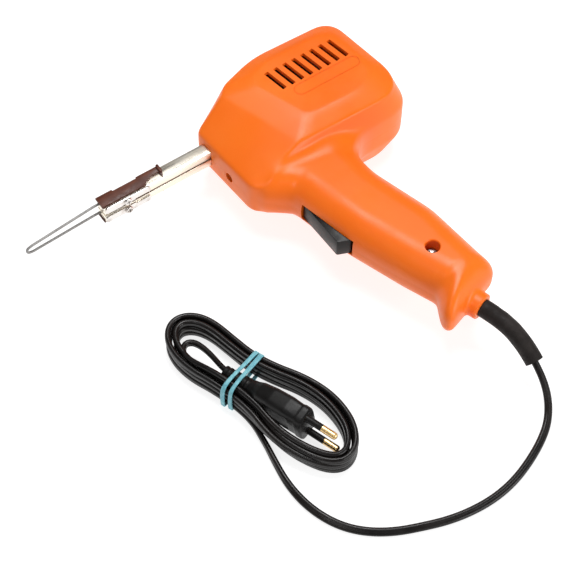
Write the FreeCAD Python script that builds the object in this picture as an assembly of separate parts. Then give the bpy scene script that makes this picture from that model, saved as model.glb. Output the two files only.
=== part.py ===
import FreeCAD, Part
import math
import os

# Transformer soldering gun with its mains lead, millimetres.
# The gun lies on its right side: the barrel points to -X, the top of the gun to +Y, its left side
# to +Z, and the surface it lies on is Z = 0. The row's origin is the centre of the footprint of the
# gun without its lead. Shapes of the gun are written in gun coordinates, whose origin is where the
# barrel's axis meets the nose in the casing's parting plane, then moved by GUN.

V = FreeCAD.Vector
os.makedirs("parts", exist_ok=True)

# ---- driving dimensions ---------------------------------------------------------------------
HALF_THICK = 29.0       # casing, parting plane to the flat of one side
NOSE_X = 2.3            # nose and barrel axis in the row frame
BARREL_Y = 72.7
GUN = V(NOSE_X, BARREL_Y, HALF_THICK)
WALL = 2.4              # casing wall
STRIP_HALF = 11.0       # half width of the nose's flat strip
SHOULDER_H = 25.0       # height where the side panel's border begins
GRIP_HALF = 17.5        # handle, parting plane to its side
GRIP_ROUND = 9.0        # rounding along the handle's sides
GRIP_ROOT = V(36.7, -44.0, 0)
GRIP_RAKE = 16.8        # degrees that the handle leans back
GRIP_END = 123.3        # handle's length from the head's underside
COLLAR_W = -11.3        # collar's centre, across the handle
COLLAR_R = 7.6
COLLAR_END = 128.9
ARM_HALF_Y = 3.9        # the two bars of the barrel
ARM_IN = 0.6
ARM_OUT = 5.6
ARM_FRONT = -69.5
TIP_REACH = -117.5
WIRE_D = 1.5
WIRE_Y = 2.4            # the wire's legs lie near the bars' upper edge
WIRE_Z = 3.8
VENTS = 8
VENT_PITCH = 6.2
VENT_RAKE = 9.0
TRIGGER_HALF = 6.0
TRIGGER_PIVOT = (18.0, -13.5)   # along and across the handle
CORE_X = (46.0, 78.0)
CORE_Y = (-33.0, 17.0)
CORE_HALF_Z = 23.9
CORD_D = 3.8
BOOT_D = 10.2
LAMP_Y = -21.0
HEAD_SCREWS = [(102.0, 14.0), (104.0, -34.0), (30.0, -31.0)]
BOSS = (91.0, -5.9)     # screw boss of the handle, along and across it
WIRE_END = -46.0
SCREW_X = -55.0
SCREW_Z = 3.8
SPRING_T = 34.5         # along the handle
SPRING_LENGTH = 7.4
SWITCH_W = -6.6
PLUNGER_T = 42.0
INLET_T = 97.0
CLAMP_SCREWS_W = (-16.0, -6.6)
PLUG_AXIS = V(0.320, -0.947, 0)
PLUG_FRONT = V(-46.6, -95.5, 14.0)
PIN_OUT = 9.2            # plug's pins from its middle
PLUG_ROLL = 9.0         # degrees that the plug's upper edge leans towards the lead's near strands


# ---- helpers --------------------------------------------------------------------------------
def grip(along, across, z=0.0):
    """A point of the handle in gun coordinates: along its axis from the head, across towards its back."""
    a = math.radians(GRIP_RAKE)
    return V(GRIP_ROOT.x + along * math.sin(a) + across * math.cos(a),
             GRIP_ROOT.y - along * math.cos(a) + across * math.sin(a), z)


GRIP_DIR = grip(1, 0) - grip(0, 0)
GRIP_SIDE = grip(0, 1) - grip(0, 0)


def rounded(corners, z):
    """Closed wire in the plane Z = z; each corner is (x, y, radius)."""
    pts = [V(c[0], c[1], z) for c in corners]
    count = len(pts)
    arcs = []
    for i in range(count):
        here, before, after = pts[i], pts[i - 1], pts[(i + 1) % count]
        to_b = (before - here).normalize()
        to_a = (after - here).normalize()
        half = to_b.getAngle(to_a) / 2
        radius = corners[i][2]
        cut = radius / math.tan(half)
        middle = here + (to_b + to_a).normalize() * (radius / math.sin(half) - radius)
        arcs.append((here + to_b * cut, middle, here + to_a * cut))
    edges = []
    for i in range(count):
        edges.append(Part.Arc(*arcs[i]).toShape())
        edges.append(Part.LineSegment(arcs[i][2], arcs[(i + 1) % count][0]).toShape())
    return Part.Wire(edges)


def prism(corners, z0, z1):
    return Part.Face(rounded(corners, z0)).extrude(V(0, 0, z1 - z0))


def polygon(points, z0, z1):
    """Straight-sided plate between two heights."""
    pts = [V(p[0], p[1], z0) for p in points]
    return Part.Face(Part.makePolygon(pts + pts[:1])).extrude(V(0, 0, z1 - z0))


def inset(corners, depth):
    """The same outline moved inwards (corners run clockwise)."""
    out = []
    count = len(corners)
    for i in range(count):
        here = V(*corners[i][:2], 0)
        before = V(*corners[i - 1][:2], 0)
        after = V(*corners[(i + 1) % count][:2], 0)
        d1 = (here - before).normalize()
        d2 = (after - here).normalize()
        n1 = V(d1.y, -d1.x, 0)
        n2 = V(d2.y, -d2.x, 0)
        shift = (n1 + n2) * (depth / (1 + n1.dot(n2)))
        turn = d1.cross(d2).z
        radius = corners[i][2] - depth if turn < 0 else corners[i][2] + depth
        out.append((here.x + shift.x, here.y + shift.y, max(radius, 0.6)))
    return out


def box(x0, x1, y0, y1, z0, z1):
    return Part.makeBox(x1 - x0, y1 - y0, z1 - z0, V(x0, y0, z0))


def rod(start, end, radius):
    axis = end - start
    return Part.makeCylinder(radius, axis.Length, start, axis)


def grip_block(a0, a1, c0, c1, z0, z1):
    """Block square to the handle."""
    corners = [grip(a0, c0), grip(a1, c0), grip(a1, c1), grip(a0, c1)]
    return polygon([(p.x, p.y) for p in corners], z0, z1)


def joined(shapes):
    return shapes[0].multiFuse(shapes[1:]).removeSplitter()


def cut(shape, *tools):
    return shape.cut(Part.makeCompound(list(tools)))


def flipped(shape):
    """Mirror image across the parting plane."""
    return shape.mirror(V(0, 0, 0), V(0, 0, 1))


def route_path(points, longest=1000.0, share=0.45):
    """Straight runs joined by tangent arcs, and the arcs' radii."""
    edges = []
    radii = []
    start = points[0]
    for i in range(1, len(points) - 1):
        here = points[i]
        to_b = (points[i - 1] - here).normalize()
        to_a = (points[i + 1] - here).normalize()
        turn = math.pi - to_b.getAngle(to_a)
        reach = min(longest, share * min((points[i - 1] - here).Length, (points[i + 1] - here).Length))
        radius = reach / math.tan(turn / 2)
        radii.append(radius)
        bisector = (to_b + to_a).normalize()
        first = here + to_b * reach
        last = here + to_a * reach
        middle = here + bisector * (radius / math.cos(turn / 2) - radius)
        edges.append(Part.LineSegment(start, first).toShape())
        edges.append(Part.Arc(first, middle, last).toShape())
        start = last
    edges.append(Part.LineSegment(start, points[-1]).toShape())
    return Part.Wire(edges), radii


def tube(wire, diameter):
    first = wire.Edges[0]
    start = first.valueAt(first.FirstParameter)
    axis = first.tangentAt(first.FirstParameter)
    ring = Part.Wire(Part.makeCircle(diameter / 2, start, axis))
    return wire.makePipeShell([ring], True, False)


written = {}


def export(node, shape, place=GUN):
    """Move a shape into the row frame and write it as one STEP file."""
    moved = shape.copy()
    moved.translate(place)
    if not moved.isValid() or not moved.Solids:
        print("INVALID", node)
    moved.exportStep("parts/" + node + ".step")
    written[node] = moved


# ---- outlines of the casing (clockwise from the nose's top corner) ----------------------------
HEAD_MID = [(0.0, 9.0, 4.0), (21.0, 21.5, 10.0), (50.0, 27.3, 25.0), (106.5, 27.5, 11.0),
            (115.6, -44.5, 20.0), (24.0, -46.5, 3.0), (2.6, -45.0, 7.0), (1.2, -14.0, 60.0)]
HEAD_SHOULDER = [(20.0, 13.0, 2.5), (26.0, 19.6, 8.0), (50.0, 27.3, 15.0), (104.3, 25.6, 9.5),
                 (111.5, -41.6, 20.0), (43.0, -39.6, 2.5), (36.6, -38.6, 2.5), (30.5, -14.0, 40.0)]
HEAD_PLATEAU = [(37.5, 6.0, 2.5), (40.5, 13.6, 3.0), (52.0, 18.2, 8.0), (97.5, 17.6, 5.0),
                (102.0, -31.4, 8.0), (54.0, -29.6, 2.0), (49.0, -27.4, 2.0), (43.2, -14.0, 20.0)]


def grip_corner(along, across, radius):
    p = grip(along, across)
    return (p.x, p.y, radius)


GRIP_OUTLINE = [(40.0, -20.0, 2.0), (82.0, -20.0, 2.0), (64.0, -44.5, 5.0), grip_corner(30, 22.4, 60),
                grip_corner(74, 20.8, 60), grip_corner(GRIP_END - 1, 7.2, 13),
                grip_corner(GRIP_END, -31.5, 4.5), grip_corner(106.5, -20.4, 8),
                grip_corner(85, -22.8, 50), grip_corner(48, -24, 80), grip_corner(9.5, -20.2, 5.0),
                (6.4, -47.4, 6.0), (8.0, -22.0, 2.0)]


# ---- casing -----------------------------------------------------------------------------------
def head_half(depth):
    """The head's upper half; depth sets the walls in for the hollow inside."""
    mid = inset(HEAD_MID, depth) if depth else HEAD_MID
    shoulder = inset(HEAD_SHOULDER, depth) if depth else HEAD_SHOULDER
    plateau = inset(HEAD_PLATEAU, depth * 0.4) if depth else HEAD_PLATEAU
    strip = STRIP_HALF - depth * 0.5
    base = prism(mid, 0, strip)
    border = rounded(shoulder, SHOULDER_H - depth)
    middle = Part.makeLoft([rounded(mid, strip), border], True, True)
    crown = Part.makeLoft([border, rounded(plateau, HALF_THICK - depth)], True, True)
    return joined([base, middle, crown])


def grip_half(depth):
    """The handle's upper half, its side rounded over in three bevelled steps."""
    height = GRIP_HALF - depth
    rounding = GRIP_ROUND - depth
    rings = []
    for degrees in (0, 30, 60, 85):
        a = math.radians(degrees)
        outline = inset(GRIP_OUTLINE, depth + rounding * (1 - math.cos(a)))
        rings.append(rounded(outline, height - rounding * (1 - math.sin(a))))
    steps = [Part.makeLoft([low, high], True, True) for low, high in zip(rings, rings[1:])]
    return joined([prism(inset(GRIP_OUTLINE, depth), 0, height - rounding)] + steps)


def casing_half():
    outer = joined([head_half(0), grip_half(0)])
    inner = joined([head_half(WALL), grip_half(WALL)])
    collar_start = grip(102, COLLAR_W)
    collar_end = grip(COLLAR_END, COLLAR_W)
    collar = rod(collar_start, collar_end, COLLAR_R).common(box(-50, 200, -300, 100, 0, 50))
    shell = joined([cut(outer, inner), cut(collar, grip_half(WALL))])
    boss_at = grip(*BOSS)
    posts = [rod(V(boss_at.x, boss_at.y, 0.05), V(boss_at.x, boss_at.y, 16.5), 6.3)]
    for x, y in HEAD_SCREWS:
        posts.append(rod(V(x, y, 0.05), V(x, y, HALF_THICK - WALL - 0.6), 3.6))
    pivot = grip(*TRIGGER_PIVOT)
    posts.append(cut(rod(V(pivot.x, pivot.y, TRIGGER_HALF + 0.5), V(pivot.x, pivot.y, GRIP_HALF - 1), 3.2)))
    posts.append(box(CORE_X[0] - 1.9, CORE_X[0] - 0.1, -24, 8, 19, 27))
    posts.append(box(CORE_X[1] + 0.1, CORE_X[1] + 1.9, -24, 8, 19, 27))
    shell = joined([shell] + [p.common(outer) for p in posts])
    tools = [box(-4, 9, -ARM_HALF_Y - 0.3, ARM_HALF_Y + 0.3, -1, ARM_OUT + 0.3),
             rod(V(-6, LAMP_Y, 0), V(10, LAMP_Y, 0), 3.1),
             rod(V(8, LAMP_Y, 0), V(24, LAMP_Y, 0), 4.6),
             grip_block(14.6, 52.0, -40, -15.5, -1, TRIGGER_HALF + 0.4),
             rod(grip(95, COLLAR_W), grip(140, COLLAR_W), BOOT_D / 2 - 1.4),
             rod(V(pivot.x, pivot.y, -1), V(pivot.x, pivot.y, 12.55), 1.55)]
    return shell, tools


def vent_slots():
    slots = []
    for i in range(VENTS):
        centre = V(49.7 + i * VENT_PITCH, 2.4, 0)
        slot = prism([(-1.4, 7.9, 0.5), (1.4, 7.9, 0.5), (1.4, -7.9, 0.5), (-1.4, -7.9, 0.5)], 20, 32)
        slot.rotate(V(0, 0, 0), V(0, 0, 1), VENT_RAKE)
        slot.translate(centre)
        slots.append(slot)
    return slots


def housings():
    shell, tools = casing_half()
    boss = grip(*BOSS)
    left_tools = [rod(V(boss.x, boss.y, 8.0), V(boss.x, boss.y, 20), 4.4),
                  rod(V(boss.x, boss.y, -1), V(boss.x, boss.y, 9), 1.9)]
    right_tools = [rod(V(boss.x, boss.y, -1), V(boss.x, boss.y, 12), 1.55)]
    for x, y in HEAD_SCREWS:
        left_tools.append(rod(V(x, y, -1), V(x, y, 14), 1.45))
        right_tools.append(rod(V(x, y, -1), V(x, y, 32), 1.9))
        right_tools.append(rod(V(x, y, 18), V(x, y, 32), 3.4))
    left = cut(shell, *tools, *left_tools, *vent_slots())
    right = flipped(cut(shell, *tools, *right_tools, *vent_slots()))
    export("housing_left", left)
    export("housing_right", right)


# ---- screws -----------------------------------------------------------------------------------
def pan_screw(foot, direction, length, shank_r, head_r, head_h):
    """Screw with a crowned, cross-slotted head; foot is the shank's far end."""
    seat = foot + direction * length
    shank = rod(foot, seat, shank_r)
    head = rod(seat, seat + direction * head_h, head_r)
    rim = [e for e in head.Edges if (e.BoundBox.Center - (seat + direction * head_h)).Length < 0.1]
    head = head.makeFillet(head_h * 0.4, rim)
    slot_a = Part.makeBox(head_r * 1.3, 0.7, 1.2)
    slot_a.translate(V(-head_r * 0.65, -0.35, 0))
    slot_b = slot_a.copy()
    slot_b.rotate(V(0, 0, 0), V(0, 0, 1), 90)
    cross = joined([slot_a, slot_b])
    turned = FreeCAD.Rotation(V(0, 0, 1), direction)
    cross.Placement = FreeCAD.Placement(seat + direction * (head_h - 1.0), turned)
    return cut(joined([shank, head]), cross)


def casing_screws():
    boss = grip(*BOSS)
    screws = [pan_screw(V(boss.x, boss.y, -9.0), V(0, 0, 1), 17.02, 1.5, 3.9, 2.2)]
    for x, y in HEAD_SCREWS:
        screws.append(pan_screw(V(x, y, 10.0), V(0, 0, -1), 28.02, 1.4, 3.1, 2.0))
    export("casing_screws", Part.makeCompound(screws))


# ---- secondary: bars of the barrel and the heavy turn round the core ---------------------------
def bar(sign):
    profile = [(ARM_FRONT, ARM_IN), (ARM_FRONT, ARM_OUT), (14, ARM_OUT), (26, 15.0), (35, 15.0), (35, 11.0),
               (28, 11.0), (16.5, ARM_IN)]
    pts = [V(x, -ARM_HALF_Y, sign * z) for x, z in profile]
    shape = Part.Face(Part.makePolygon(pts + pts[:1])).extrude(V(0, 2 * ARM_HALF_Y, 0))
    front = V(ARM_FRONT - 1, WIRE_Y, sign * WIRE_Z)
    leg = rod(front, V(WIRE_END + 0.4, WIRE_Y, sign * WIRE_Z), WIRE_D / 2 + 0.06)
    face = V(SCREW_X, -ARM_HALF_Y - 1, sign * SCREW_Z)
    thread = rod(face, V(SCREW_X, WIRE_Y - WIRE_D / 2 - 0.1, sign * SCREW_Z), 1.3)
    return cut(shape, leg, thread)


def secondary():
    export("arm_left", bar(1))
    export("arm_right", bar(-1))
    turn = joined([box(35, 90, -ARM_HALF_Y, ARM_HALF_Y, 11, 15),
                   box(86, 90, -ARM_HALF_Y, ARM_HALF_Y, -11, 11),
                   box(35, 90, -ARM_HALF_Y, ARM_HALF_Y, -15, -11)])
    middles = [(e, e.BoundBox.Center) for e in turn.Edges]
    outer = [e for e, m in middles if abs(m.x - 90) < 0.01 and abs(abs(m.z) - 15) < 0.01]
    export("secondary_turn", turn.makeFillet(3.0, outer))
    export("arm_spacer", box(-62, 14, -ARM_HALF_Y + 0.9, ARM_HALF_Y - 0.9, -ARM_IN + 0.02, ARM_IN - 0.02))
    block = box(6, 10, -8, 8, -9.5, 9.5)
    half_y = ARM_HALF_Y + 0.05
    half_z = ARM_OUT + 0.05
    export("nose_insulator", cut(block, box(0, 20, -half_y, half_y, -half_z, half_z)))


# ---- clamps at the barrel's front and the soldering wire --------------------------------------
def clamp_parts():
    for name, sign in (("left", 1), ("right", -1)):
        jaw = box(-69.2, -40.2, -ARM_HALF_Y - 1.0, -ARM_HALF_Y, 1.5, 6.1)
        ends = [e for e in jaw.Edges
                if abs(abs(e.BoundBox.Center.y) - ARM_HALF_Y - 0.5) < 0.01 and e.Length < 1.1]
        jaw = jaw.makeFillet(1.6, ends)
        hole = rod(V(SCREW_X, -10, SCREW_Z), V(SCREW_X, 0, SCREW_Z), 1.4)
        jaw = cut(jaw, hole, box(-50, -41.4, -6, -1, 1.4, 2.3))
        screw = pan_screw(V(SCREW_X, WIRE_Y - WIRE_D / 2 - 0.12, SCREW_Z), V(0, -1, 0),
                          WIRE_Y - WIRE_D / 2 - 0.12 + ARM_HALF_Y + 1.05, 1.25, 2.3, 1.3)
        cover = insulator_cover()
        export("clamp_jaw_" + name, jaw if sign > 0 else flipped(jaw))
        export("clamp_screw_" + name, screw if sign > 0 else flipped(screw))
        export("arm_insulator_" + name, cover if sign > 0 else flipped(cover))


def insulator_cover():
    """Phenolic plate on a bar's outer face, with a scallop and an upright lug at its rear end."""
    low = ARM_OUT + 0.02
    plate = polygon([(-70, -3.2), (-70, 4.6), (-59.5, 4.6), (-59.5, 3.6), (-44, 3.6), (-44, 4.4),
                     (-29.5, 4.4), (-29.5, -1.0), (-31, -3.2)], low, low + 1.5)
    scallop = prism([(-44.5, -8.0, 2.0), (-41.0, -1.6, 4.5), (-36, 0.6, 1.5), (-31.2, 0.6, 0.8),
                     (-31.2, -8.0, 0.8)], low - 1, low + 4)
    lug = box(-31.0, -29.5, -1.0, 4.4, low, low + 3.0)
    uprights = [e for e in lug.Edges if abs(e.BoundBox.Center.z - low - 1.5) < 0.01]
    return joined([cut(plate, scallop), lug.makeFillet(0.7, uprights)])


def soldering_wire():
    """Hairpin of tinned copper wire: two legs in the bars, drawn together at the working end."""
    nose = TIP_REACH + WIRE_D / 2
    half = [V(WIRE_END, WIRE_Y, WIRE_Z), V(ARM_FRONT - 3, WIRE_Y, WIRE_Z), V(nose + 3.0, -0.2, 2.6),
            V(nose, -0.3, 1.6)]
    leg = half + [V(p.x, p.y, -p.z) for p in reversed(half)]
    wire, _ = route_path(leg, 1.4, 0.42)
    export("soldering_tip", tube(wire, WIRE_D))


# ---- transformer ------------------------------------------------------------------------------
def transformer():
    x0, x1 = CORE_X
    y0, y1 = CORE_Y
    core = box(x0, x1, y0, y1, -CORE_HALF_Z, CORE_HALF_Z)
    windows = [box(x0 - 1, x1 + 1, y0 + 8, y1 - 8, s * 12.5 - 4.5, s * 12.5 + 4.5) for s in (1, -1)]
    corners = [(y, z) for y in (y0 + 4, y1 - 4) for z in (-21, 21)]
    holes = [rod(V(x0 - 1, y, z), V(x1 + 1, y, z), 2.15) for y, z in corners]
    export("transformer_core", cut(core, *windows, *holes))
    leg_space = box(x0 - 0.2, x1 + 0.2, -60, 60, -8.1, 8.1)
    sleeve = cut(box(x0 - 1.3, x1 + 1.3, y0 + 9.3, -6.2, -9.2, 9.2), leg_space)
    flanges = [cut(box(x0 - 7.5, x1 + 7.5, y, y + 1.0, -16.6, 16.6), leg_space) for y in (y0 + 8.3, -6.2)]
    export("bobbin", joined([sleeve] + flanges))
    sleeve_space = box(x0 - 1.5, x1 + 1.5, -60, 60, -9.4, 9.4)
    ring = cut(box(x0 - 6.3, x1 + 6.3, y0 + 9.5, -6.4, -15.4, 15.4), sleeve_space)
    uprights = [e for e in ring.Edges if e.BoundBox.YLength > 17 and abs(e.BoundBox.Center.z) > 12]
    export("primary_winding", ring.makeFillet(1.2, uprights))
    winding_space = box(x0 - 6.4, x1 + 6.4, -60, 60, -15.5, 15.5)
    tape = cut(box(x0 - 6.9, x1 + 6.9, y0 + 11, -8, -16.1, 16.1), winding_space)
    export("winding_tape", tape)
    bolts = [pan_screw(V(x1 + 4.5, y, z), V(-1, 0, 0), x1 + 4.5 - x0 + 0.1, 2.0, 3.4, 2.4) for y, z in corners]
    export("core_bolts", Part.makeCompound(bolts))
    nuts = []
    for y, z in corners:
        angles = [k * math.pi / 3 for k in range(6)]
        hexagon = [V(x1 + 0.1, y + 3.5 * math.cos(a), z + 3.5 * math.sin(a)) for a in angles]
        nut = Part.Face(Part.makePolygon(hexagon + hexagon[:1])).extrude(V(3.0, 0, 0))
        nuts.append(cut(nut, rod(V(x1 - 1, y, z), V(x1 + 6, y, z), 2.03)))
    export("core_nuts", Part.makeCompound(nuts))


# ---- work lamp --------------------------------------------------------------------------------
def work_lamp():
    bulb = joined([Part.makeSphere(2.7, V(6.5, LAMP_Y, 0)), rod(V(6.5, LAMP_Y, 0), V(12.5, LAMP_Y, 0), 2.7)])
    export("work_lamp", bulb)
    holder = cut(rod(V(10.0, LAMP_Y, 0), V(17.0, LAMP_Y, 0), 4.3), rod(V(9, LAMP_Y, 0), V(12.7, LAMP_Y, 0), 2.8))
    export("lamp_holder", holder)


# ---- trigger and switch -----------------------------------------------------------------------
def trigger_parts():
    outline = [(15.2, -19.6, 0.5), (45.2, -28.6, 1.2), (50.3, -22.5, 0.6), (50.3, -13.0, 0.8), (24, -11.6, 1.0),
               (20.5, -11.2, 1.5), (15.4, -11.4, 2.0)]
    corners = [grip_corner(*c) for c in reversed(outline)]
    body = prism(corners, -TRIGGER_HALF, TRIGGER_HALF)
    pivot = grip(*TRIGGER_PIVOT)
    body = cut(body, rod(V(pivot.x, pivot.y, -10), V(pivot.x, pivot.y, 10), 1.56),
               rod(grip(SPRING_T, -15.0), grip(SPRING_T, -8.0), 3.0))
    export("trigger", body)
    export("trigger_pin", rod(V(pivot.x, pivot.y, -12.5), V(pivot.x, pivot.y, 12.5), 1.5))
    switch = grip_block(24, 47, SWITCH_W, 4, -8, 8)
    uprights = [e for e in switch.Edges if abs(e.Length - 16) < 0.01]
    switch = switch.makeFillet(1.0, uprights)
    plunger_hole = rod(grip(PLUNGER_T, SWITCH_W - 1), grip(PLUNGER_T, SWITCH_W + 6), 2.05)
    export("switch_body", cut(switch, plunger_hole))
    stem = rod(grip(PLUNGER_T, -12.1), grip(PLUNGER_T, SWITCH_W + 2.2), 2.0)
    export("switch_plunger", stem)
    tags = [grip_block(a, a + 0.8, 4.02, 10, z - 2.4, z + 2.4) for a in (29, 41) for z in (-4, 4)]
    export("switch_terminals", Part.makeCompound(tags))
    bracket = [grip_block(a0, a1, -5.5, 2.5, -15.0, 15.0) for a0, a1 in ((22.2, 23.9), (47.1, 48.8))]
    export("switch_bracket", Part.makeCompound([cut(b, grip_block(20, 50, -9, 9, -6.0, 6.0)) for b in bracket]))
    helix = Part.makeHelix(1.3, SPRING_LENGTH, 2.1)
    ring = Part.Wire(Part.makeCircle(0.3, V(2.1, 0, 0), V(0, 1, 0)))
    coil = Part.Wire(helix).makePipeShell([ring], True, True)
    coil.Placement = FreeCAD.Placement(grip(SPRING_T, -14.4), FreeCAD.Rotation(V(0, 0, 1), GRIP_SIDE))
    export("trigger_spring", coil)


# ---- lead inside the handle -------------------------------------------------------------------
def inner_leads():
    clamp = [grip_block(99, 105, -17.5, -5.1, 2.1, 5.1), grip_block(99, 105, -17.5, -5.1, -5.1, -2.1)]
    anchors = []
    for across in CLAMP_SCREWS_W:
        at = grip(102, across)
        anchors.append(pan_screw(V(at.x, at.y, -4.5), V(0, 0, 1), 9.7, 1.1, 2.2, 1.4))
    groove = rod(grip(90, COLLAR_W), grip(110, COLLAR_W), CORD_D / 2 + 0.02)
    bores = [rod(V(grip(102, w).x, grip(102, w).y, -10), V(grip(102, w).x, grip(102, w).y, 10), 1.15)
             for w in CLAMP_SCREWS_W]
    export("cord_clamp", Part.makeCompound([cut(c, groove, *bores) for c in clamp]))
    export("cord_clamp_screws", Part.makeCompound(anchors))
    export("cord_inlet", rod(grip(INLET_T, COLLAR_W), grip(COLLAR_END, COLLAR_W), CORD_D / 2))
    live = [grip(INLET_T - 0.1, -12.2, 0.9), grip(90, -15.5, 3.0), grip(78, -12, 4.5), grip(64, 2, 5.0),
            grip(54, 9.5, 4.6), grip(43.0, 12.5, 4.0)]
    neutral = [grip(INLET_T - 0.1, -10.7, -0.9), grip(91.5, -15, -2.8), grip(78, -9, -4.0), grip(64, 8, -6.0), grip(48, 15.5, -9.0),
               grip(30, 16.5, -9.0), grip(12, 15.0, -6.0), grip(5.5, 14.0, -2.0)]
    switched = [grip(30.0, 12.5, -4.0), grip(22, 12.2, -3.5), grip(13, 9.0, 1.0), grip(5.5, 8.0, 5.0)]
    for name, points in (("lead_live", live), ("lead_neutral", neutral), ("lead_switched", switched)):
        wire, _ = route_path(points)
        export(name, tube(wire, 1.7))


# ---- mains lead: boot, free stretch, hank, band and plug ---------------------------------------
# control points of the free stretch, row frame; the first two runs lie inside the boot
LEAD = [(65.44, -97.97, 29.0), (69.43, -111.18, 29.0), (71.6, -124.8, 24.0), (71.8, -137.2, 17.2),
        (70.6, -147.0, 10.8), (66.8, -155.2, 6.0), (59.8, -162.8, 2.9), (50.0, -168.6, 1.95),
        (38.4, -173.6, 1.95), (25.6, -177.6, 1.95), (12.0, -179.4, 1.95), (-2.4, -178.6, 1.95),
        (-16.4, -175.6, 1.95), (-29.6, -170.6, 1.95), (-42.0, -165.2, 1.95), (-53.0, -157.8, 1.95),
        (-61.6, -148.6, 1.95), (-67.4, -137.4, 1.95), (-70.6, -124.8, 1.95), (-71.2, -111.6, 2.2),
        (-69.4, -98.8, 2.4), (-67.2, -86.6, 2.4)]
BOOT_POINTS = 4

HANK = [(-76.5, -0.5, 13.0), (-53.5, -1.5, 12.0), (-45.5, -40.0, 50.0), (-22.5, -77.0, 30.0),
        (-25.5, -125.5, 18.0), (-58.5, -125.0, 18.0), (-68.0, -86.0, 60.0), (-69.5, -54.0, 60.0),
        (-84.5, -30.0, 14.0), (-81.5, -10.0, 14.0)]
HANK_HEIGHT = 19.0
BAND_OUTER = [(-73.6, -52.2, 1.0), (-40.4, -44.4, 1.0), (-41.8, -50.2, 1.0), (-72.0, -58.0, 1.0)]


def mains_lead():
    points = [V(*p) for p in LEAD]
    wire, _ = route_path(points)
    cord = tube(wire, CORD_D)
    export("cord", cord, V(0, 0, 0))
    boot_wire, _ = route_path(points[:BOOT_POINTS])
    boot = cut(tube(boot_wire, BOOT_D), tube(wire, CORD_D + 0.3))
    stub = rod(grip(118, COLLAR_W), grip(COLLAR_END + 1, COLLAR_W), BOOT_D / 2 - 1.5)
    stub = cut(stub, rod(grip(100, COLLAR_W), grip(140, COLLAR_W), CORD_D / 2 + 0.1))
    stub.translate(GUN)
    export("cord_boot", joined([boot, stub]), V(0, 0, 0))
    hank = prism(HANK, 0, HANK_HEIGHT)
    rims = [e for e in hank.Edges if all(abs(v.Z - HANK_HEIGHT) < 0.01 or abs(v.Z) < 0.01 for v in e.Vertexes)
            and e.BoundBox.ZLength < 0.01]
    export("cord_hank", hank.makeFillet(4.0, rims), V(0, 0, 0))
    band = cut(prism(BAND_OUTER, 0, HANK_HEIGHT + 1.2), prism(inset(BAND_OUTER, 1.2), 0.6, HANK_HEIGHT))
    export("cord_band", band, V(0, 0, 0))


def plug():
    side = PLUG_AXIS.cross(V(0, 0, 1))
    turn = FreeCAD.Rotation(PLUG_AXIS, PLUG_ROLL) * FreeCAD.Rotation(side, V(0, 0, 1), PLUG_AXIS, "ZXY")
    frame = FreeCAD.Placement(PLUG_FRONT, turn)
    stages = [(0, 6.2, 11.4), (-12, 6.6, 11.8), (-25, 6.2, 10.2), (-34, 4.9, 5.8)]
    sections = []
    for back, half_t, half_w in stages:
        r = 4.6
        corners = [(-half_t, half_w, r), (half_t, half_w, r), (half_t, -half_w, r), (-half_t, -half_w, r)]
        ring = rounded(corners, back)
        sections.append(ring)
    body = Part.makeLoft(sections, True, False)
    relief = Part.makeCone(3.6, 5.0, 21.0, V(0, 0, -54))
    pin_bores = [rod(V(0, s * PIN_OUT, -12), V(0, s * PIN_OUT, 1), 2.0) for s in (1, -1)]
    shell = cut(joined([body, relief]), *pin_bores)
    sleeves = []
    pins = []
    for s in (1, -1):
        pin = rod(V(0, s * PIN_OUT, -11.9), V(0, s * PIN_OUT, 19.0), 1.95)
        tip = [e for e in pin.Edges if abs(e.BoundBox.Center.z - 19.0) < 0.01 and e.BoundBox.ZLength < 0.01]
        hole = rod(V(0, s * PIN_OUT, -1), V(0, s * PIN_OUT, 11), 1.6)
        neck = cut(rod(V(0, s * PIN_OUT, 0.02), V(0, s * PIN_OUT, 10.0), 3), hole)
        pins.append(cut(pin.makeFillet(1.5, tip), neck))
        sleeves.append(cut(rod(V(0, s * PIN_OUT, 0.05), V(0, s * PIN_OUT, 9.95), 1.95),
                           rod(V(0, s * PIN_OUT, -1), V(0, s * PIN_OUT, 11), 1.62)))
    for name, shape in (("plug_body", shell), ("plug_pins", Part.makeCompound(pins)),
                        ("plug_pin_sleeves", Part.makeCompound(sleeves))):
        placed = shape.copy()
        placed.Placement = frame
        export(name, placed, V(0, 0, 0))


housings()
casing_screws()
secondary()
clamp_parts()
soldering_wire()
transformer()
work_lamp()
trigger_parts()
inner_leads()
mains_lead()
plug()

LEAD_NODES = ("cord", "cord_boot", "cord_hank", "cord_band", "plug_body", "plug_pins", "plug_pin_sleeves")
gun = Part.makeCompound([shape for node, shape in written.items() if node not in LEAD_NODES])
print("gun without its lead", gun.BoundBox)
print("nodes", len(written))
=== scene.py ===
import math

import bmesh
import bpy
import numpy as np
from mathutils import Matrix, Vector


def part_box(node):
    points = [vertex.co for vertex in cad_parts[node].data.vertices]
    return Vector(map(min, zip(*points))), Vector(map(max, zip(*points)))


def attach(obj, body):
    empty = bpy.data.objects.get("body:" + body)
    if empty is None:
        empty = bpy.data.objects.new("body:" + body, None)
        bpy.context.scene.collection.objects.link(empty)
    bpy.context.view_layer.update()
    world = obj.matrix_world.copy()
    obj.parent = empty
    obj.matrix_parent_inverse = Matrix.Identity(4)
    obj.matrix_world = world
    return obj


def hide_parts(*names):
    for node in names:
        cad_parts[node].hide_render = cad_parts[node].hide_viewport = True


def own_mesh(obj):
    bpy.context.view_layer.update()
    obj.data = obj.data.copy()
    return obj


# Looks of the transformer soldering gun. Shapes of the gun are worked out in millimetres in gun
# coordinates (origin where the barrel's axis meets the nose in the parting plane, +X back,
# +Y to the gun's top, +Z to its left side) and moved into the row frame, in metres, by in_row().

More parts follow.
